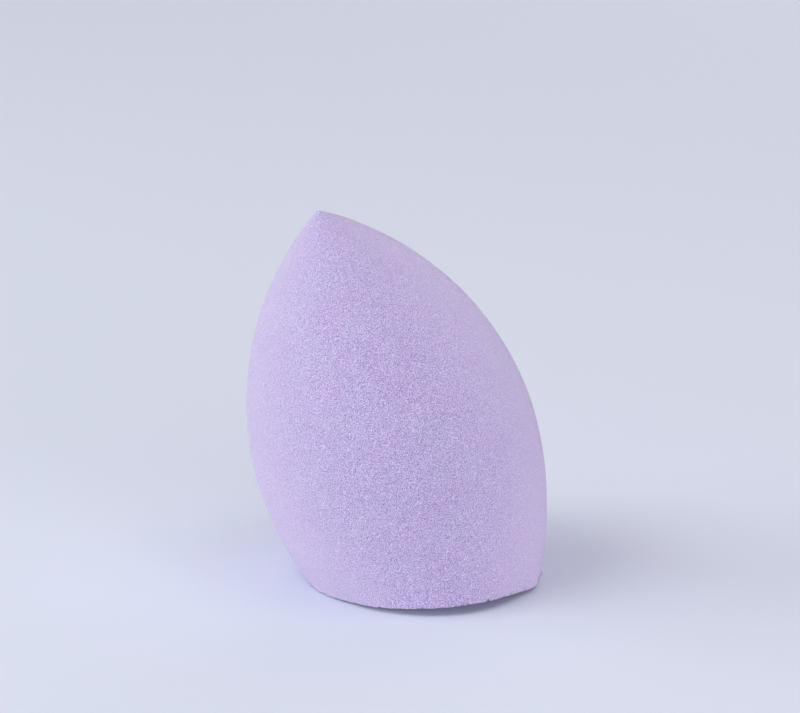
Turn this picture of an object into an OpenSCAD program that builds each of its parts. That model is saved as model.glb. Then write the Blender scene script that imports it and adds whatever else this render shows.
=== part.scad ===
// Makeup sponge: a teardrop of soft foam, turned about its own axis and cut flat
// at a slant, so that it stands on the cut with its point leaning over.
// Millimetres and degrees. Z is up, the cut lies in the plane Z = 0 with its
// middle at the origin, and the point leans towards -X.

/* [Teardrop] */
// Widest diameter, square to the sponge's own axis
body_d = 42; // [36:0.5:50]
// Height of the point above the widest ring, along the axis, before it is rounded
point_h = 38.5; // [34:0.5:46]
// Radius that rounds off the point
point_r = 0.8; // [0.4:0.1:3]

/* [Curves] */
// Radius of the shoulder, the arc that rises from the widest ring
shoulder_r = 40.5; // [36:0.5:60]
// Angle that the shoulder turns through before it runs into the flank
shoulder_sweep = 16; // [12:0.5:20]
// Radius of the belly, the arc that drops from the widest ring to the cut
belly_r = 57.5; // [48:0.5:80]

/* [Cut] */
// Height of the widest ring's centre above the cut
ring_h = 20.2; // [15:0.1:24]
// Angle between the sponge's axis and upright when it stands on the cut
lean = 18; // [0:0.5:26]

/* [Hidden] */
$fn = 180;

foam_colour = "#bfb1e0";
body_r = body_d / 2;

// Straight steps that each arc of the outline is drawn in
belly_steps = 28;
shoulder_steps = 9;
flank_steps = 20;
point_steps = 6;

// The outline lies in the plane through the axis. Its places are
// [distance from the axis, height above the widest ring].
apex = [0, point_h];
shoulder_centre = [body_r - shoulder_r, 0];
belly_centre = [body_r - belly_r, 0];
// The belly turns through this angle from the widest ring down to the axis.
belly_sweep = acos(-belly_centre.x / belly_r);

// The flank is the one arc that carries on from the shoulder's end without a
// corner and passes through the apex.
shoulder_out = [cos(shoulder_sweep), sin(shoulder_sweep)];
shoulder_end = shoulder_centre + shoulder_r * shoulder_out;
flank_chord = apex - shoulder_end;
flank_r = -(flank_chord * flank_chord) / (2 * flank_chord * shoulder_out);
flank_centre = shoulder_end - flank_r * shoulder_out;

// The rounded point is a ball on the axis that the flank runs into without a corner.
point_centre = [0, flank_centre.y + sqrt(pow(flank_r - point_r, 2) - pow(flank_centre.x, 2))];
point_out = point_centre - flank_centre;
flank_end_angle = atan2(point_out.y, point_out.x);

// The slanted cut meets the outline of the belly on each side of the axis,
// at side = 1 below the overhang and side = -1 below the lean.
function belly_centre_x(side) = side * belly_centre.x * cos(lean);
function belly_centre_z(side) = ring_h + side * belly_centre.x * sin(lean);
function cut_end_x(side) =
    belly_centre_x(side) + side * sqrt(pow(belly_r, 2) - pow(belly_centre_z(side), 2));
cut_middle_x = (cut_end_x(1) + cut_end_x(-1)) / 2;

// Points along an arc, its first end left out so that arcs can be joined
function arc(centre, r, from, to, steps) = [
    for (i = [1:steps])
        let (a = from + (to - from) * i / steps)
            centre + r * [cos(a), sin(a)]
];

// The whole outline, from the belly's lowest point on the axis up to the point
outline = concat(
    [[0, -belly_r * sin(belly_sweep)]],
    arc(belly_centre, belly_r, -belly_sweep, 0, belly_steps),
    arc(shoulder_centre, shoulder_r, 0, shoulder_sweep, shoulder_steps),
    arc(flank_centre, flank_r, shoulder_sweep, flank_end_angle, flank_steps),
    arc(point_centre, point_r, flank_end_angle, 90, point_steps)
);

// Reach of the block that cuts the base, larger than the whole sponge
cutter = 2 * (body_d + point_h);

// The teardrop before it is cut, upright on its own axis
module teardrop() {
    rotate_extrude() polygon(outline);
}

// Everything below the plane that the sponge stands on
module below_cut() {
    translate([-cutter / 2, -cutter / 2, -cutter]) cube(cutter);
}

// The whole sponge is one piece of foam.
module foam_body() {
    color(foam_colour)
        difference() {
            translate([-cut_middle_x, 0, ring_h]) rotate([0, -lean, 0]) teardrop();
            below_cut();
        }
}

foam_body();
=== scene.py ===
"""Makeup sponge: one block of soft lilac foam, ground to a teardrop and cut flat at a slant.

Lengths are written in millimetres and turned to metres by MM. Z is up, the cut
stands on the plane Z = 0 with its middle at the origin, and the point leans
towards -X. A bearing is an angle in plan, anticlockwise from +X.
"""

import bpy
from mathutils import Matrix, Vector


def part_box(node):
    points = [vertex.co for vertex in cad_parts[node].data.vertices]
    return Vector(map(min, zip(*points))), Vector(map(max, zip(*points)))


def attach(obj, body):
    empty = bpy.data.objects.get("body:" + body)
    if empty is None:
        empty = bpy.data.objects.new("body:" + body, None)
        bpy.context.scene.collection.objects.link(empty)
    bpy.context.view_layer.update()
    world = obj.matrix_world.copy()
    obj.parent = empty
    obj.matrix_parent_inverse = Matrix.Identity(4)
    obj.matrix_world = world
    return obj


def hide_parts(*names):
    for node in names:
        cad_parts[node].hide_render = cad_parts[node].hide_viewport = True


bl_info = {
    "name": "Makeup Sponge",
    "version": (1, 0, 0),
    "blender": (4, 5, 0),
    "location": "View3D > Sidebar > Makeup Sponge",
    "description": "Makes a teardrop foam makeup sponge and the studio that it stands in",
    "category": "Add Mesh",
}

import math
from typing import NamedTuple

import bpy
import numpy as np
from mathutils import Color, Vector, noise

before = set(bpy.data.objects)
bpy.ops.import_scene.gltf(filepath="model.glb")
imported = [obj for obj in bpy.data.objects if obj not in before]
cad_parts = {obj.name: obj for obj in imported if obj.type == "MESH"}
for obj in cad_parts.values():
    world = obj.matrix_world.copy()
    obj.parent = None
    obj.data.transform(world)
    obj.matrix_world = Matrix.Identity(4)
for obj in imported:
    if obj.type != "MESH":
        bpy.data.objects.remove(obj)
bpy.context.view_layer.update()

MM = 0.001

# The solid that holds the sponge's place, the piece that shows in its stead, the body
# that carries the piece and its material slot
FOAM_NODE = "foam_body"
FOAM_PIECE = "foam_teardrop"
FOAM_BODY = "root"

foam_low, foam_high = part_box(FOAM_NODE)


def hex_to_linear(text):
    """The linear red, green and blue of an sRGB colour such as #bfb1e0."""
    parts = [int(text[i : i + 2], 16) / 255 for i in (1, 3, 5)]
    return tuple(Color(parts).from_srgb_to_scene_linear())


# Sizes and colours that a user would change


class SpongeShape(bpy.types.PropertyGroup):
    """The teardrop, its curves and its cut"""

    widest_diameter: bpy.props.FloatProperty(
        name="Widest diameter",
        description="Diameter of the widest ring, square to the sponge's own axis",
        default=foam_high.y - foam_low.y,
        min=10 * MM,
        unit="LENGTH",
    )
    point_height: bpy.props.FloatProperty(
        name="Point height",
        description="Height of the point above the widest ring, along the axis, before it is rounded",
        default=38.5 * MM,
        min=5 * MM,
        unit="LENGTH",
    )
    point_radius: bpy.props.FloatProperty(
        name="Point radius",
        description="Radius that rounds off the point",
        default=0.8 * MM,
        min=0.2 * MM,
        unit="LENGTH",
    )
    shoulder_radius: bpy.props.FloatProperty(
        name="Shoulder radius",
        description="Radius of the arc that rises from the widest ring",
        default=40.5 * MM,
        min=10 * MM,
        unit="LENGTH",
    )
    shoulder_sweep: bpy.props.FloatProperty(
        name="Shoulder sweep",
        description="Angle that the shoulder turns through before it runs into the flank",
        default=math.radians(16),
        min=math.radians(2),
        subtype="ANGLE",
        unit="ROTATION",
    )
    belly_radius: bpy.props.FloatProperty(
        name="Belly radius",
        description="Radius of the arc that drops from the widest ring to the cut",
        default=57.5 * MM,
        min=10 * MM,
        unit="LENGTH",
    )
    ring_height: bpy.props.FloatProperty(
        name="Ring height",
        description="Height of the widest ring's centre above the cut",
        default=20.2 * MM,
        min=2 * MM,
        unit="LENGTH",
    )
    lean: bpy.props.FloatProperty(
        name="Lean",
        description="Angle between the sponge's axis and upright when it stands on the cut",
        default=math.radians(18),
        min=0,
        subtype="ANGLE",
        unit="ROTATION",
    )


class SpongeFoam(bpy.types.PropertyGroup):
    """The foam's colours, with the painted shade in its pits, its painted sheen and painted bounce
    light, and its cells
    """

    wall_colour: bpy.props.FloatVectorProperty(
        name="Cell wall colour",
        description="Colour of the foam's cell walls where the grinding wheel has opened them",
        default=hex_to_linear("#efe5fc"),
        min=0,
        max=1,
        subtype="COLOR",
    )
    # Painted shade: this colour darkens the pits of the open cells, standing in for the shade in them
    painted_pit_shade_colour: bpy.props.FloatVectorProperty(
        name="Pore colour",
        description="Colour in the depth of the open cells",
        default=hex_to_linear("#8171b8"),
        min=0,
        max=1,
        subtype="COLOR",
    )
    # Dye and painted bounce light: besides the random patches, this tint is added towards the foot
    warm_dye_and_bounce_colour: bpy.props.FloatVectorProperty(
        name="Warm dye",
        description="Tint where the dye has taken a little redder",
        default=hex_to_linear("#f0e0fb"),
        min=0,
        max=1,
        subtype="COLOR",
    )
    # Nap and painted sheen: seen edge on, the foam turns towards this paler, greyer colour
    nap_and_sheen_colour: bpy.props.FloatVectorProperty(
        name="Nap colour",
        description="Colour of the loose ends of the cell walls, seen edge on",
        default=hex_to_linear("#c8bddc"),
        min=0,
        max=1,
        subtype="COLOR",
    )
    cell_size: bpy.props.FloatProperty(
        name="Cell size",
        description="Distance from one open cell of the foam to the next",
        default=0.22 * MM,
        min=0.1 * MM,
        precision=5,
        unit="LENGTH",
    )
    cell_depth: bpy.props.FloatProperty(
        name="Cell depth",
        description="Depth of an open cell below its walls",
        default=0.09 * MM,
        min=0,
        precision=5,
        unit="LENGTH",
    )


class SpongeStudio(bpy.types.PropertyGroup):
    """The floor and lamps round the sponge"""

    paper_colour: bpy.props.FloatVectorProperty(
        name="Paper colour",
        description="Colour of the paper that the sponge stands on",
        default=hex_to_linear("#d9e0ef"),
        min=0,
        max=1,
        subtype="COLOR",
    )
    lamp_level: bpy.props.FloatProperty(
        name="Lamp level",
        description="Factor on the power of every softbox",
        default=1.0,
        min=0,
        subtype="FACTOR",
    )


# The teardrop's outline, in the plane through its axis, as rows of the distance from the
# axis and the height above the widest ring

ARC_POINTS = 400


def arc(centre, radius, start, end):
    """Fine points along an arc."""
    angle = np.linspace(start, end, ARC_POINTS)
    return centre + radius * np.column_stack((np.cos(angle), np.sin(angle)))


def outline(shape):
    """Fine points from the belly's lowest point on the axis up to the tip of the rounded point."""
    ring_radius = shape.widest_diameter / 2
    apex = np.array((0, shape.point_height))
    belly_centre = np.array((ring_radius - shape.belly_radius, 0))
    belly_sweep = math.acos(-belly_centre[0] / shape.belly_radius)
    shoulder_centre = np.array((ring_radius - shape.shoulder_radius, 0))
    shoulder_out = np.array((math.cos(shape.shoulder_sweep), math.sin(shape.shoulder_sweep)))
    shoulder_end = shoulder_centre + shape.shoulder_radius * shoulder_out

    # The flank is the one arc that carries on from the shoulder and passes through the apex.
    chord = apex - shoulder_end
    flank_radius = -chord.dot(chord) / (2 * chord.dot(shoulder_out))
    flank_centre = shoulder_end - flank_radius * shoulder_out

    # The rounded point is a ball on the axis that the flank runs into.
    reach = flank_radius - shape.point_radius
    point_centre = np.array((0, flank_centre[1] + math.sqrt(reach**2 - flank_centre[0] ** 2)))
    point_out = point_centre - flank_centre
    flank_end = math.atan2(point_out[1], point_out[0])
    return np.vstack(
        (
            arc(belly_centre, shape.belly_radius, -belly_sweep, 0),
            arc(shoulder_centre, shape.shoulder_radius, 0, shape.shoulder_sweep)[1:],
            arc(flank_centre, flank_radius, shape.shoulder_sweep, flank_end)[1:],
            arc(point_centre, shape.point_radius, flank_end, math.pi / 2)[1:],
        )
    )


class Teardrop:
    """The leaning teardrop above its cut, as places on its skin."""

    TURN_POINTS = 720

    def __init__(self, shape):
        self.points = outline(shape)
        steps = np.linalg.norm(np.diff(self.points, axis=0), axis=1)
        self.run = np.concatenate(([0], np.cumsum(steps)))
        self.lean = shape.lean
        self.ring_height = shape.ring_height
        self.turns = np.linspace(0, 2 * math.pi, self.TURN_POINTS, endpoint=False)
        # Where the middle of the cut lies along X, taken as 0 until the cut's two ends are known
        self.cut_middle = 0.0
        self.starts = np.array([self.cut_run(turn) for turn in self.turns])
        ends = self.side(0, np.array((0, math.pi)))
        self.cut_middle = float(ends[:, 0].mean())
        self.side_length = float(self.run[-1] - self.starts.mean())
        self.cut_radius = float(np.linalg.norm(self.side(0, self.turns), axis=1).mean())

    def lean_over(self, radius, height, turn):
        """Tips places on the upright teardrop over, and sets them on the cut."""
        across = radius * np.cos(turn)
        x = across * math.cos(self.lean) - height * math.sin(self.lean) - self.cut_middle
        z = across * math.sin(self.lean) + height * math.cos(self.lean) + self.ring_height
        return np.column_stack((x, radius * np.sin(turn), z))

    def cut_run(self, turn):
        """How far up the outline the cut crosses it, at one turn about the axis."""
        height = self.lean_over(self.points[:, 0], self.points[:, 1], turn)[:, 2]
        # The cut lies between the first point above it and the one before.
        first = int(np.argmax(height > 0))
        share = -height[first - 1] / (height[first] - height[first - 1])
        return self.run[first - 1] + share * (self.run[first] - self.run[first - 1])

    def side(self, share, turn):
        """Places on the side, from the cut edge at share 0 to the tip at share 1."""
        start = np.interp(turn, self.turns, self.starts, period=2 * math.pi)
        run = start + share * (self.run[-1] - start)
        radius = np.interp(run, self.run, self.points[:, 0])
        height = np.interp(run, self.run, self.points[:, 1])
        return self.lean_over(np.maximum(radius, 0), height, turn)

    def base(self, share, turn):
        """Places on the cut face, from its edge at share 0 to its middle at share 1."""
        return self.side(0, turn) * (1 - share)


# The foam's mesh: rings of points from the middle of the cut face out to its edge and up to the tip

# Gap between rings at the cut edge, on the side and on the cut face
EDGE_GAP = 0.13 * MM
SIDE_GAP = 0.255 * MM
BASE_GAP = 0.4 * MM
# Each gap is this many times the one nearer to the cut edge, until it is full size.
GAP_GROWTH = 1.12
# Length of an even triangle's side for each unit of its height
TRIANGLE_SIDE = 2 / math.sqrt(3)
FEWEST_POINTS = 6
# Turns about the axis at which a ring's length is measured
PROBE_POINTS = 181
PROBE_TURNS = np.linspace(0, 2 * math.pi, PROBE_POINTS)


class Ring(NamedTuple):
    """One ring of the mesh's points."""

    first: int  # number of its first point in the mesh
    count: int  # of its points
    start: float  # turn of its first point, in steps between its points
    from_edge: float  # metres from the cut edge
    on_base: bool  # whether it lies on the cut face


def graded_steps(length, gap):
    """Shares of a length, from the cut edge at 0, and the gap at each, which grows to full size."""
    gaps = []
    while sum(gaps) < length:
        gaps.append(min(gap, EDGE_GAP * GAP_GROWTH ** len(gaps)))
    shares = np.concatenate(([0], np.cumsum(gaps))) / sum(gaps)
    return list(zip(shares, gaps + gaps[-1:]))


def ring_plan(teardrop):
    """The rings in order, from the middle of the cut face to the tip.

    Each is a row: the function that gives its places, its share, its gap, its distance
    from the cut edge, and whether it lies on the cut face.
    """
    base = [
        (teardrop.base, share, gap, share * teardrop.cut_radius, True)
        for share, gap in graded_steps(teardrop.cut_radius, BASE_GAP)[1:]
    ]
    side = [
        (teardrop.side, share, gap, share * teardrop.side_length, False)
        for share, gap in graded_steps(teardrop.side_length, SIDE_GAP)
    ]
    return base[::-1] + side


def lay_rings(teardrop):
    """All points of the mesh, and the rings that they lie in."""
    places = []
    rings = []
    total = 0
    for number, (place, share, gap, from_edge, on_base) in enumerate(ring_plan(teardrop)):
        probe = place(share, PROBE_TURNS)
        length = np.linalg.norm(np.diff(probe, axis=0), axis=1).sum()
        count = 1 if share == 1 else max(FEWEST_POINTS, round(length / (gap * TRIANGLE_SIDE)))
        # Every other ring starts half a step further round, which keeps the triangles even.
        start = number % 2 / 2
        turn = (np.arange(count) + start) * 2 * math.pi / count
        places.append(place(share, turn))
        rings.append(Ring(total, count, start, from_edge, on_base))
        total += count
    return np.vstack(places), rings


def band(lower, upper):
    """Triangles that close the band between two rings, facing out."""
    triangles = []
    low = high = 0
    # The single points at the middle of the cut face and at the tip have no steps.
    low_steps = lower.count if lower.count > 1 else 0
    high_steps = upper.count if upper.count > 1 else 0
    while low < low_steps or high < high_steps:
        low_next = (low + 1 + lower.start) / lower.count if low < low_steps else math.inf
        high_next = (high + 1 + upper.start) / upper.count if high < high_steps else math.inf
        low_point = lower.first + low % lower.count
        high_point = upper.first + high % upper.count
        if low_next <= high_next:
            low += 1
            triangles.append((low_point, lower.first + low % lower.count, high_point))
        else:
            high += 1
            triangles.append((low_point, upper.first + high % upper.count, high_point))
    return triangles


# What hand and wheel leave on the shape


class Push(NamedTuple):
    """A soft push of the cut edge, outwards in plan and up off the floor."""

    bearing: float  # degrees
    width: float  # degrees
    out: float  # millimetres
    up: float  # millimetres
    reach: float  # millimetres from the edge over which most of it fades
    fall: int  # 1 where it fades from the edge on, 2 where it holds near the edge


# The knife left the foot fuller than a true oval at the front, where its edge is arched off
# the floor, with a corner standing out at each end of the arch.
EDGE_PUSHES = (
    Push(bearing=-92, width=43, out=0, up=1.45, reach=4.5, fall=2),
    Push(bearing=-99.6, width=42, out=3.65, up=0, reach=7.5, fall=1),
    Push(bearing=-50, width=9, out=0.7, up=0, reach=2.5, fall=2),
    Push(bearing=-162, width=10, out=0.2, up=0, reach=2.5, fall=2),
)

# Wavelength and height of the rise and fall that the grinding wheel leaves
GRINDING_WAVES = ((16 * MM, 0.16 * MM), (6 * MM, 0.05 * MM), (0.9 * MM, 0.02 * MM))
# The same for the knife's path over the cut face
KNIFE_WAVES = ((9 * MM, 0.06 * MM), (0.9 * MM, 0.02 * MM))
# Torn cells along the cut edge: their wavelength, how far they stand out or in, and the
# distance from the edge over which they fade
TORN_WAVE = 0.4 * MM
TORN_REACH = 0.35 * MM
TORN_FADE = 0.35 * MM
# Height of the notches that they leave where the edge is off the floor, as a share of its lift
TORN_NOTCH = 0.5
# Offset that gives the torn cells a pattern of their own
TORN_SEED = Vector((31.7, 5.3, 12.9))


def waves_at(place, waves):
    """Rise of the surface at a place, summed over its waves."""
    return sum(height * noise.noise(place / length) for length, height in waves)


def push_at(place, from_edge):
    """How far a place near the cut edge is pushed."""
    bearing = math.degrees(math.atan2(place.y, place.x))
    out = up = 0.0
    for push in EDGE_PUSHES:
        off = (bearing - push.bearing + 180) % 360 - 180
        fade = (from_edge / (push.reach * MM)) ** push.fall
        weight = math.exp(-((off / push.width) ** 2) - fade)
        out += weight * push.out * MM
        up += weight * push.up * MM
    plan = Vector((place.x, place.y, 0)).normalized()
    return plan * out + Vector((0, 0, up))


def worn_place(place, normal, ring):
    """Where a point of the true shape lies on the real, hand-finished sponge."""
    waves = KNIFE_WAVES if ring.on_base else GRINDING_WAVES
    rise = waves_at(place, waves)
    torn = noise.noise(place / TORN_WAVE + TORN_SEED)
    torn *= math.exp(-((ring.from_edge / TORN_FADE) ** 2))
    plan = Vector((place.x, place.y, 0)).normalized()
    push = push_at(place, ring.from_edge)
    moved = place + normal * rise + push + plan * TORN_REACH * torn
    moved.z += TORN_NOTCH * push.z * max(torn, 0.0)
    # Foam that would reach below the cut is pressed flat by what the sponge stands on.
    moved.z = max(moved.z, 0.0)
    return moved


# Places of the two finishes in the mesh's list of materials
SIDE_FINISH = 0
CUT_FINISH = 1


def foam_mesh(shape):
    """The sponge as one closed mesh, with one finish on its side and another on its cut face."""
    teardrop = Teardrop(shape)
    places, rings = lay_rings(teardrop)
    faces = []
    finishes = []
    for lower, upper in zip(rings, rings[1:]):
        triangles = band(lower, upper)
        faces += triangles
        finishes += [CUT_FINISH if lower.on_base else SIDE_FINISH] * len(triangles)
    mesh = bpy.data.meshes.new(FOAM_PIECE)
    mesh.from_pydata(places.tolist(), [], faces)
    normals = np.empty(len(places) * 3, np.float32)
    mesh.vertex_normals.foreach_get("vector", normals)
    normals = normals.reshape(-1, 3)
    worn = [
        worn_place(Vector(places[i]), Vector(normals[i]), ring)
        for ring in rings
        for i in range(ring.first, ring.first + ring.count)
    ]
    mesh.vertices.foreach_set("co", np.array(worn, np.float32).ravel())
    mesh.polygons.foreach_set("material_index", finishes)
    mesh.polygons.foreach_set("use_smooth", [True] * len(faces))
    mesh.update()
    mesh.validate()
    return mesh


# Materials

# Inputs and output of a Mix node that carry its colours
MIX_A = 6
MIX_B = 7
MIX_RESULT = 2


def add_node(tree, kind, settings=(), links=()):
    """Adds a node, gives its properties or inputs their values, and links its inputs."""
    node = tree.nodes.new(kind)
    for name, value in dict(settings).items():
        if isinstance(name, int) or name in node.inputs:
            node.inputs[name].default_value = value
        else:
            setattr(node, name, value)
    for name, source in dict(links).items():
        tree.links.new(source, node.inputs[name])
    return node


def empty_material(name):
    """A material with nothing in its node tree but the output."""
    material = bpy.data.materials.new(name)
    material.use_nodes = True
    material.node_tree.nodes.clear()
    output = add_node(material.node_tree, "ShaderNodeOutputMaterial")
    return material, material.node_tree, output


class FoamFinish(NamedTuple):
    """How one way of working the foam leaves its surface."""

    material: str
    cell_share: float  # of the foam's cell size
    depth_share: float  # of the foam's cell depth
    rim: float  # distance from a cell's middle to the crest of its wall, in steps of the grid
    sheen: float


# Polyurethane foam shaped on a grinding wheel: the cell walls stand up as a dry, velvety nap
GROUND = FoamFinish(
    "ground_polyurethane_foam", cell_share=1.0, depth_share=1.0, rim=0.85, sheen=0.12
)
# The same foam under the knife: the cells are sliced open, so they look wider and deeper, and darker
# through more of the painted pit shade
KNIFE_CUT = FoamFinish(
    "knife_cut_polyurethane_foam", cell_share=1.15, depth_share=1.3, rim=1.15, sheen=0.06
)

# Flexible polyurethane has an index of about 1.5, and open cells scatter nearly all of the light.
FOAM_IOR = 1.5
FOAM_ROUGHNESS = 0.95
FOAM_DIFFUSE_ROUGHNESS = 1.0
FOAM_SPECULAR = 0.15
# Sheen of the nap, which pales the foam where it is seen edge on
NAP_ROUGHNESS = 0.3
NAP_TINT = hex_to_linear("#efe9fa")
# A flat slice meets scattered cells further apart than the grid that they are scattered from.
GRID_SHARE = 0.6
# Distance from a cell's middle to the edge of its floor, in steps of that grid
PIT_FLOOR = 0.15
# Seen edge on, the loose ends of the walls hide the painted pit shade and the dye behind them, and a
# paler painted sheen shows in their place, by at most this much.
NAP_AND_SHEEN_MOST = 0.6
# The wheel presses the cells closed by this much more at the point than at the foot.
POINT_CLOSED = 0.3
POINT_HEIGHT = 55 * MM
# Height of the surface, from pit floor to wall, that gives the foam's mean colour
MEAN_HEIGHT = 0.53
# Width of the patches in which the dye differs, the finer layers of noise in them, and the
# range of the noise that turns from plain to warm
DYE_PATCH = 5 * MM
DYE_DETAIL = 1.0
DYE_RANGE = (0.36, 0.64)
# Painted bounce light: towards the foot the warm tint is added, up to this height, by at most this much
# of the noise
FOOT_BOUNCE_HEIGHT = 22 * MM
FOOT_BOUNCE_TINT = 0.16
# Painted bounce light: round the foot the painted sheen turns towards the warm tint, up to this share,
# over these heights
FOOT_BOUNCE_IN_SHEEN = 0.24
FOOT_BOUNCE_IN_SHEEN_HEIGHTS = (6 * MM, 26 * MM)
# Size of the grit's own marks, with no finer ones in them, and their share in the height of
# the surface
GRIT_SIZE = 0.15 * MM
GRIT_DETAIL = 0.0
GRIT_SHARE = 0.5
# Range of the noise that holds nearly all of it
GRIT_RANGE = (0.3, 0.7)


def cell_height(tree, place, foam, finish):
    """Height of the surface, from 0 on the floor of a pit to 1 on the crest of a wall, which also sets
    how much painted shade a place gets.
    """
    cells = add_node(
        tree,
        "ShaderNodeTexVoronoi",
        {"Scale": 1 / (foam.cell_size * finish.cell_share * GRID_SHARE)},
        {"Vector": place},
    )
    wall = add_node(
        tree,
        "ShaderNodeMapRange",
        {"interpolation_type": "SMOOTHSTEP", "From Min": PIT_FLOOR, "From Max": finish.rim},
        {"Value": cells.outputs["Distance"]},
    )
    marks = add_node(
        tree,
        "ShaderNodeTexNoise",
        {"Scale": 1 / GRIT_SIZE, "Detail": GRIT_DETAIL},
        {"Vector": place},
    )
    grit = add_node(
        tree,
        "ShaderNodeMapRange",
        {"interpolation_type": "SMOOTHSTEP", "From Min": GRIT_RANGE[0], "From Max": GRIT_RANGE[1]},
        {"Value": marks.outputs["Fac"]},
    )
    height = add_node(
        tree,
        "ShaderNodeMix",
        {"data_type": "FLOAT", "Factor": GRIT_SHARE},
        {"A": wall.outputs["Result"], "B": grit.outputs["Result"]},
    )
    return height.outputs["Result"]


def dyed_walls_with_bounce(tree, place, above, foam):
    """Colour of the cell walls, in soft patches of the dye, with the warm tint added near the foot as
    painted bounce light.
    """
    clouds = add_node(
        tree,
        "ShaderNodeTexNoise",
        {"Scale": 1 / DYE_PATCH, "Detail": DYE_DETAIL},
        {"Vector": place},
    )
    foot_bounce_on_walls = add_node(
        tree,
        "ShaderNodeMapRange",
        {"From Max": FOOT_BOUNCE_HEIGHT, "To Min": FOOT_BOUNCE_TINT, "To Max": 0.0},
        {"Value": above},
    )
    # The dye patches, plus the painted bounce light towards the foot
    dye = add_node(
        tree,
        "ShaderNodeMath",
        {"operation": "ADD"},
        {0: clouds.outputs["Fac"], 1: foot_bounce_on_walls.outputs["Result"]},
    )
    patches = add_node(
        tree,
        "ShaderNodeMapRange",
        {"interpolation_type": "SMOOTHSTEP", "From Min": DYE_RANGE[0], "From Max": DYE_RANGE[1]},
        {"Value": dye.outputs["Value"]},
    )
    walls = add_node(
        tree,
        "ShaderNodeMix",
        {"data_type": "RGBA", MIX_A: (*foam.wall_colour, 1), MIX_B: (*foam.warm_dye_and_bounce_colour, 1)},
        {"Factor": patches.outputs["Result"]},
    )
    return walls.outputs[MIX_RESULT]


def nap_with_painted_sheen(tree, above, foam):
    """Colour of the nap's painted sheen, with some of the warm tint round the foot as painted bounce
    light.
    """
    # Painted bounce light: share of the warm tint in the painted sheen, highest at the foot
    loose = add_node(
        tree,
        "ShaderNodeMapRange",
        {
            "interpolation_type": "SMOOTHSTEP",
            "From Min": FOOT_BOUNCE_IN_SHEEN_HEIGHTS[0],
            "From Max": FOOT_BOUNCE_IN_SHEEN_HEIGHTS[1],
            "To Min": FOOT_BOUNCE_IN_SHEEN,
            "To Max": 0.0,
        },
        {"Value": above},
    )
    nap = add_node(
        tree,
        "ShaderNodeMix",
        {"data_type": "RGBA", MIX_A: (*foam.nap_and_sheen_colour, 1), MIX_B: (*foam.warm_dye_and_bounce_colour, 1)},
        {"Factor": loose.outputs["Result"]},
    )
    return nap.outputs[MIX_RESULT]


def foam_material(foam, finish):
    """Open-celled foam: pits and walls in height, with painted shade in the pits, which the nap and its
    paler painted sheen hide seen edge on.
    """
    material, tree, output = empty_material(finish.material)
    place = add_node(tree, "ShaderNodeTexCoord").outputs["Object"]
    above = add_node(tree, "ShaderNodeSeparateXYZ", links={"Vector": place}).outputs["Z"]
    height = cell_height(tree, place, foam, finish)
    closed = add_node(
        tree,
        "ShaderNodeMapRange",
        {"From Max": POINT_HEIGHT, "To Max": POINT_CLOSED},
        {"Value": above},
    )
    seen = add_node(
        tree,
        "ShaderNodeMix",
        {"data_type": "FLOAT", "B": MEAN_HEIGHT},
        {"Factor": closed.outputs["Result"], "A": height},
    )
    # Painted shade: the pore colour fills the low parts of the surface, pits and grit alike
    colour = add_node(
        tree,
        "ShaderNodeMix",
        {"data_type": "RGBA", MIX_A: (*foam.painted_pit_shade_colour, 1)},
        {"Factor": seen.outputs["Result"], MIX_B: dyed_walls_with_bounce(tree, place, above, foam)},
    )
    # Seen edge on, the colour turns to the nap and its painted sheen, which hides the painted pit shade
    facing = add_node(tree, "ShaderNodeLayerWeight").outputs["Facing"]
    nap_and_sheen_share = add_node(
        tree, "ShaderNodeMath", {"operation": "MINIMUM", 1: NAP_AND_SHEEN_MOST}, {0: facing}
    )
    with_nap_and_sheen = add_node(
        tree,
        "ShaderNodeMix",
        {"data_type": "RGBA"},
        {
            "Factor": nap_and_sheen_share.outputs["Value"],
            MIX_A: colour.outputs[MIX_RESULT],
            MIX_B: nap_with_painted_sheen(tree, above, foam),
        },
    )
    bump = add_node(
        tree,
        "ShaderNodeBump",
        {"Distance": foam.cell_depth * finish.depth_share},
        {"Height": height},
    )
    shader = add_node(
        tree,
        "ShaderNodeBsdfPrincipled",
        {
            "Roughness": FOAM_ROUGHNESS,
            "Diffuse Roughness": FOAM_DIFFUSE_ROUGHNESS,
            "IOR": FOAM_IOR,
            "Specular IOR Level": FOAM_SPECULAR,
            "Sheen Weight": finish.sheen,
            "Sheen Roughness": NAP_ROUGHNESS,
            "Sheen Tint": (*NAP_TINT, 1),
        },
        {"Base Color": with_nap_and_sheen.outputs[MIX_RESULT], "Normal": bump.outputs["Normal"]},
    )
    tree.links.new(shader.outputs["BSDF"], output.inputs["Surface"])
    return material


# Matte seamless paper has a faint tooth and no gloss to speak of.
PAPER_ROUGHNESS = 0.9
PAPER_SPECULAR = 0.1
PAPER_TOOTH = 0.25 * MM
PAPER_RELIEF = 0.01 * MM


def paper_material(studio):
    """Matte seamless paper."""
    material, tree, output = empty_material("matte_seamless_paper")
    place = add_node(tree, "ShaderNodeTexCoord").outputs["Object"]
    tooth = add_node(tree, "ShaderNodeTexNoise", {"Scale": 1 / PAPER_TOOTH}, {"Vector": place})
    bump = add_node(
        tree, "ShaderNodeBump", {"Distance": PAPER_RELIEF}, {"Height": tooth.outputs["Fac"]}
    )
    shader = add_node(
        tree,
        "ShaderNodeBsdfPrincipled",
        {
            "Base Color": (*studio.paper_colour, 1),
            "Roughness": PAPER_ROUGHNESS,
            "Specular IOR Level": PAPER_SPECULAR,
        },
        {"Normal": bump.outputs["Normal"]},
    )
    tree.links.new(shader.outputs["BSDF"], output.inputs["Surface"])
    return material


# The studio

# Metres from the middle of the paper to each of its edges
FLOOR_REACH = 4.0
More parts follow.
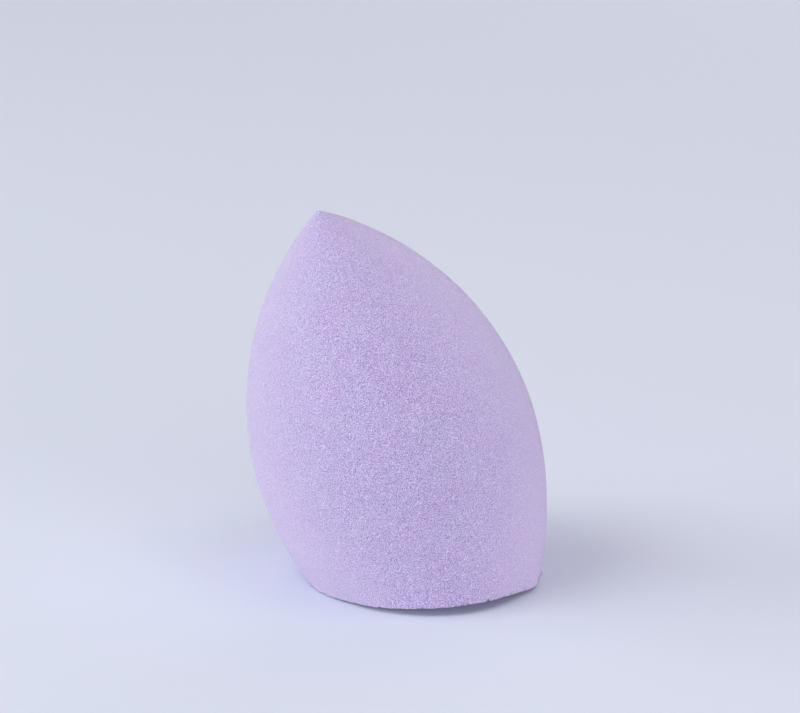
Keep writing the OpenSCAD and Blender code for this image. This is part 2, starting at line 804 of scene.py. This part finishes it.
# Metres from the middle of the sponge to each softbox
SOFTBOX_DISTANCE = 1.0


class Softbox(NamedTuple):
    """A softbox that faces the sponge."""

    name: str
    bearing: float  # degrees, in plan
    elevation: float  # degrees above the floor
    width: float  # metres
    height: float  # metres
    power: float  # watts
    colour: str = "#ffffff"


SOFTBOXES = (
    Softbox(
        "left_softbox", bearing=160, elevation=7, width=1.0, height=0.25, power=10.0, colour="#f8fff5"
    ),
    Softbox("upper_left_softbox", bearing=-170, elevation=52, width=0.5, height=0.5, power=2.85),
    Softbox("front_right_softbox", bearing=-80, elevation=13, width=1.0, height=0.3, power=4.35),
    Softbox("upper_right_softbox", bearing=-50, elevation=66, width=0.5, height=0.5, power=1.3),
    Softbox("back_right_softbox", bearing=40, elevation=7, width=1.0, height=0.25, power=3.45),
)
# Even light from all round, and what is seen behind the paper
SKY_COLOUR = hex_to_linear("#fff6fb")
SKY_LEVEL = 0.41
BACKDROP_COLOUR = hex_to_linear("#d0d2e4")

# Where the camera stands round the sponge, in degrees, how far it is from the place in the
# middle of its picture, and that place
CAMERA_BEARING = -110.03
CAMERA_ELEVATION = 16.6
CAMERA_DISTANCE = 600 * MM
CAMERA_AIM = Vector((-2.84, 1.99, 32.88)) * MM
# In millimetres, as a camera takes them
SENSOR_WIDTH = 36
LENS = 183.4
# In metres
CLIP_NEAR = 0.05
CLIP_FAR = 20


def place_at(bearing, elevation, distance):
    """The step to a place at a bearing and an elevation, both in degrees, and at a distance."""
    turn = math.radians(bearing)
    rise = math.radians(elevation)
    flat = math.cos(rise)
    return distance * Vector((flat * math.cos(turn), flat * math.sin(turn), math.sin(rise)))


def link(obj):
    """Puts an object in the scene."""
    bpy.context.scene.collection.objects.link(obj)
    return obj


def make_floor(studio):
    """The sheet of paper that the sponge stands on."""
    mesh = bpy.data.meshes.new("studio_floor")
    corners = [(x * FLOOR_REACH, y * FLOOR_REACH, 0) for x, y in ((-1, -1), (1, -1), (1, 1), (-1, 1))]
    mesh.from_pydata(corners, [], [(0, 1, 2, 3)])
    mesh.materials.append(paper_material(studio))
    floor = link(bpy.data.objects.new("studio_floor", mesh))
    floor.location.z = foam_low.z


def make_softbox(box, level):
    """One softbox, aimed at the middle of the sponge."""
    lamp = bpy.data.lights.new(box.name, "AREA")
    lamp.shape = "RECTANGLE"
    lamp.size = box.width
    lamp.size_y = box.height
    lamp.energy = box.power * level
    lamp.color = hex_to_linear(box.colour)
    obj = link(bpy.data.objects.new(box.name, lamp))
    middle = (foam_low + foam_high) / 2
    obj.location = middle + place_at(box.bearing, box.elevation, SOFTBOX_DISTANCE)
    obj.rotation_euler = (middle - obj.location).to_track_quat("-Z", "Y").to_euler()


def make_sky():
    """Even light from all round, with a plain pale backdrop where it is seen or reflected."""
    world = bpy.data.worlds.new("studio_sky")
    world.use_nodes = True
    tree = world.node_tree
    tree.nodes.clear()
    light = add_node(
        tree, "ShaderNodeBackground", {"Color": (*SKY_COLOUR, 1), "Strength": SKY_LEVEL}
    )
    backdrop = add_node(tree, "ShaderNodeBackground", {"Color": (*BACKDROP_COLOUR, 1)})
    ray = add_node(tree, "ShaderNodeLightPath")
    seen = add_node(
        tree,
        "ShaderNodeMath",
        {"operation": "MAXIMUM"},
        {0: ray.outputs["Is Camera Ray"], 1: ray.outputs["Is Glossy Ray"]},
    )
    mix = add_node(
        tree,
        "ShaderNodeMixShader",
        links={
            "Fac": seen.outputs["Value"],
            1: light.outputs["Background"],
            2: backdrop.outputs["Background"],
        },
    )
    add_node(tree, "ShaderNodeOutputWorld", links={"Surface": mix.outputs["Shader"]})
    bpy.context.scene.world = world


def make_camera():
    """The camera, at the angle and distance that the sponge was photographed from."""
    data = bpy.data.cameras.new("studio_camera")
    data.sensor_width = SENSOR_WIDTH
    data.lens = LENS
    data.clip_start = CLIP_NEAR
    data.clip_end = CLIP_FAR
    camera = link(bpy.data.objects.new("studio_camera", data))
    camera.location = CAMERA_AIM + place_at(CAMERA_BEARING, CAMERA_ELEVATION, CAMERA_DISTANCE)
    camera.rotation_euler = (CAMERA_AIM - camera.location).to_track_quat("-Z", "Y").to_euler()
    bpy.context.scene.camera = camera


# Operators, panel and registration


class SPONGE_OT_foam_teardrop(bpy.types.Operator):
    """Make the sponge's foam body"""

    bl_idname = "sponge.foam_teardrop"
    bl_label = "Foam Teardrop"

    def execute(self, context):
        foam = context.scene.sponge_foam
        mesh = foam_mesh(context.scene.sponge_shape)
        # In the order of SIDE_FINISH and CUT_FINISH
        for finish in (GROUND, KNIFE_CUT):
            mesh.materials.append(foam_material(foam, finish))
        piece = link(bpy.data.objects.new(FOAM_PIECE, mesh))
        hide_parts(FOAM_NODE)
        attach(piece, FOAM_BODY)
        return {"FINISHED"}


class SPONGE_OT_studio(bpy.types.Operator):
    """Make the floor, the softboxes, the sky and the camera"""

    bl_idname = "sponge.studio"
    bl_label = "Studio"

    def execute(self, context):
        studio = context.scene.sponge_studio
        make_floor(studio)
        for box in SOFTBOXES:
            make_softbox(box, studio.lamp_level)
        make_sky()
        make_camera()
        context.scene.view_settings.view_transform = "Standard"
        return {"FINISHED"}


class SPONGE_PT_panel(bpy.types.Panel):
    """Sizes, colours and the buttons that make the sponge"""

    bl_idname = "SPONGE_PT_panel"
    bl_label = "Makeup Sponge"
    bl_space_type = "VIEW_3D"
    bl_region_type = "UI"
    bl_category = "Makeup Sponge"

    def draw(self, context):
        for title, group, operator in (
            ("Shape", context.scene.sponge_shape, None),
            ("Foam", context.scene.sponge_foam, SPONGE_OT_foam_teardrop.bl_idname),
            ("Studio", context.scene.sponge_studio, SPONGE_OT_studio.bl_idname),
        ):
            box = self.layout.box()
            box.label(text=title)
            for name in group.__annotations__:
                box.prop(group, name)
            if operator:
                box.operator(operator)


CLASSES = (
    SpongeShape,
    SpongeFoam,
    SpongeStudio,
    SPONGE_OT_foam_teardrop,
    SPONGE_OT_studio,
    SPONGE_PT_panel,
)


def register():
    for cls in CLASSES:
        bpy.utils.register_class(cls)
    bpy.types.Scene.sponge_shape = bpy.props.PointerProperty(type=SpongeShape)
    bpy.types.Scene.sponge_foam = bpy.props.PointerProperty(type=SpongeFoam)
    bpy.types.Scene.sponge_studio = bpy.props.PointerProperty(type=SpongeStudio)


def unregister():
    del bpy.types.Scene.sponge_studio
    del bpy.types.Scene.sponge_foam
    del bpy.types.Scene.sponge_shape
    for cls in reversed(CLASSES):
        bpy.utils.unregister_class(cls)


def main():
    register()
    bpy.ops.sponge.foam_teardrop()
    bpy.ops.sponge.studio()


if __name__ == "__main__":
    main()
